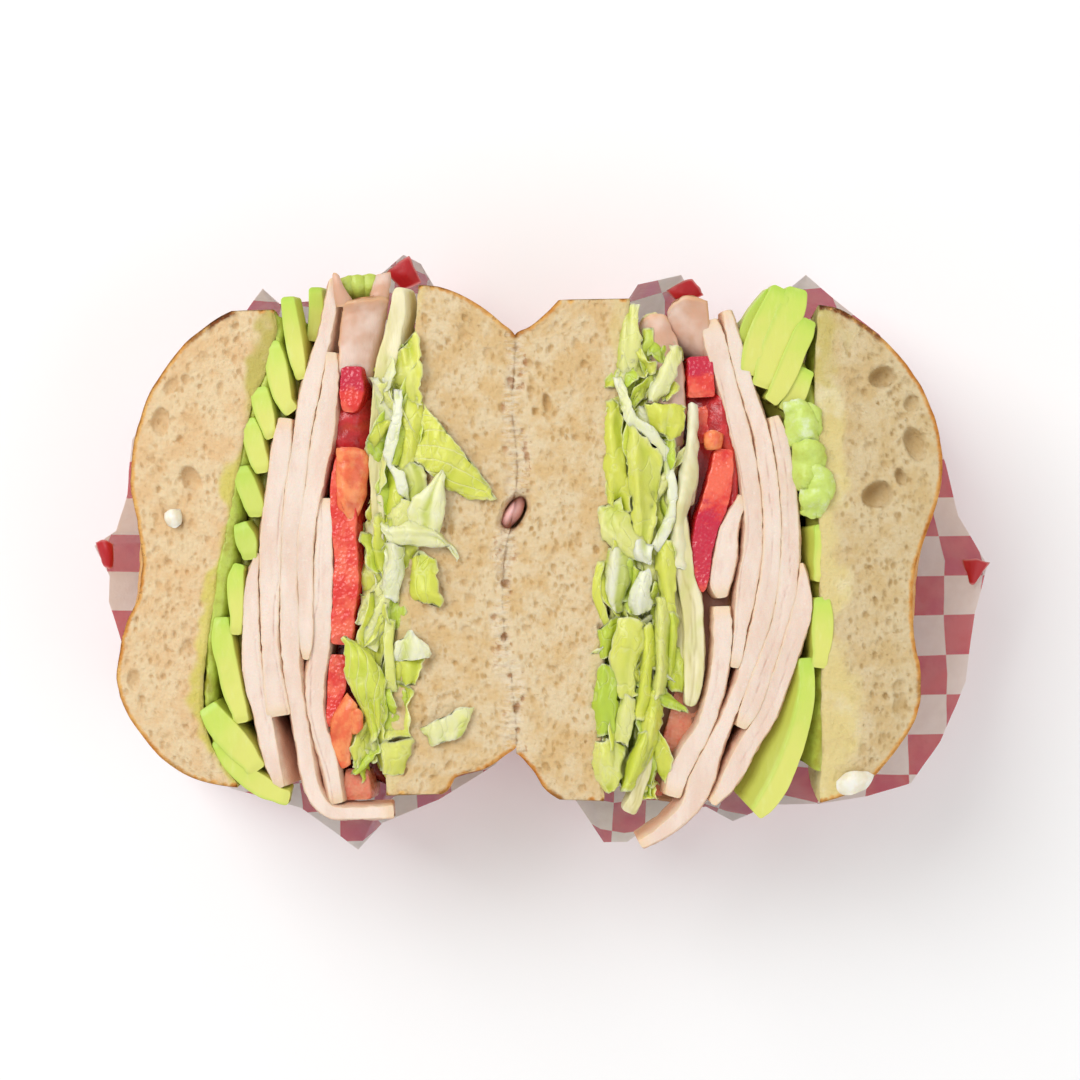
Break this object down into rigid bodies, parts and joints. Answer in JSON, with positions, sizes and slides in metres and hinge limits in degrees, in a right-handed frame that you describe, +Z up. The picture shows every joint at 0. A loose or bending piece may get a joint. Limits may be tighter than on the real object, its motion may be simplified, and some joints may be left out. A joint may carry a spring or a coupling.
{
  "type": "bagel sandwich",
  "caption": "Bagel sandwich cut across and opened like a book, cut faces up, with turkey, avocado, tomato and lettuce between the breads, lying in checked deli paper.",
  "frame": {"origin": "on the table, at the middle of the outline seen from above", "axes": "+Z up out of the cut faces; +X through the layers, along the longest side; +Y along the bagel's width"},
  "size_m": [0.208, 0.138, 0.0619],
  "materials": {
    "bread": "cream crumb with a thin golden crust",
    "turkey": "pale pink sliced turkey breast",
    "avocado": "smooth cut avocado, green at the rim and yellow inside",
    "tomato": "wet cut tomato",
    "lettuce": "thin waxy iceberg lettuce",
    "lettuce_rib": "pale translucent lettuce rib",
    "paper": "waxed paper with red and white checks"
  },
  "bodies": {
    "root": {"avocado_left_1": "avocado", "avocado_left_10": "avocado", "avocado_left_2": "avocado", "avocado_left_3": "avocado", "avocado_left_4": "avocado", "avocado_left_5": "avocado", "avocado_left_6": "avocado", "avocado_left_7": "avocado", "avocado_left_8": "avocado", "avocado_left_9": "avocado", "avocado_left_back": "avocado", "avocado_left_far": "avocado", "avocado_right_1": "avocado", "avocado_right_10": "avocado", "avocado_right_2": "avocado", "avocado_right_3": "avocado", "avocado_right_4": "avocado", "avocado_right_5": "avocado", "avocado_right_6": "avocado", "avocado_right_7": "avocado", "avocado_right_8": "avocado", "avocado_right_9": "avocado", "avocado_right_fan": "avocado", "bread_crown_left": "bread", "bread_crown_right": "bread", "bread_heel": "bread", "leaf_left_frond": "lettuce", "leaf_left_pale": "lettuce", "leaf_left_scrap": "lettuce", "leaf_left_wide": "lettuce", "lettuce_left": "lettuce", "lettuce_right": "lettuce", "paper": "paper", "rib_left_far": "lettuce_rib", "rib_right_end": "lettuce_rib", "rib_right_far": "lettuce_rib", "rib_right_long": "lettuce_rib", "rib_right_pale": "lettuce_rib", "rib_right_thin": "lettuce_rib", "tomato_left_cube": "tomato", "tomato_left_end": "tomato", "tomato_left_flesh": "tomato", "tomato_left_slice": "tomato", "tomato_right_cube": "tomato", "tomato_right_end": "tomato", "tomato_right_low": "tomato", "tomato_right_pulp": "tomato", "tomato_right_slice": "tomato", "turkey_left_fifth": "turkey", "turkey_left_fourth": "turkey", "turkey_left_long": "turkey", "turkey_left_outer": "turkey", "turkey_left_second": "turkey", "turkey_right_inner": "turkey", "turkey_right_long": "turkey", "turkey_right_low": "turkey", "turkey_right_outer": "turkey", "turkey_right_short": "turkey", "turkey_right_third": "turkey"}
  },
  "joints": []
}
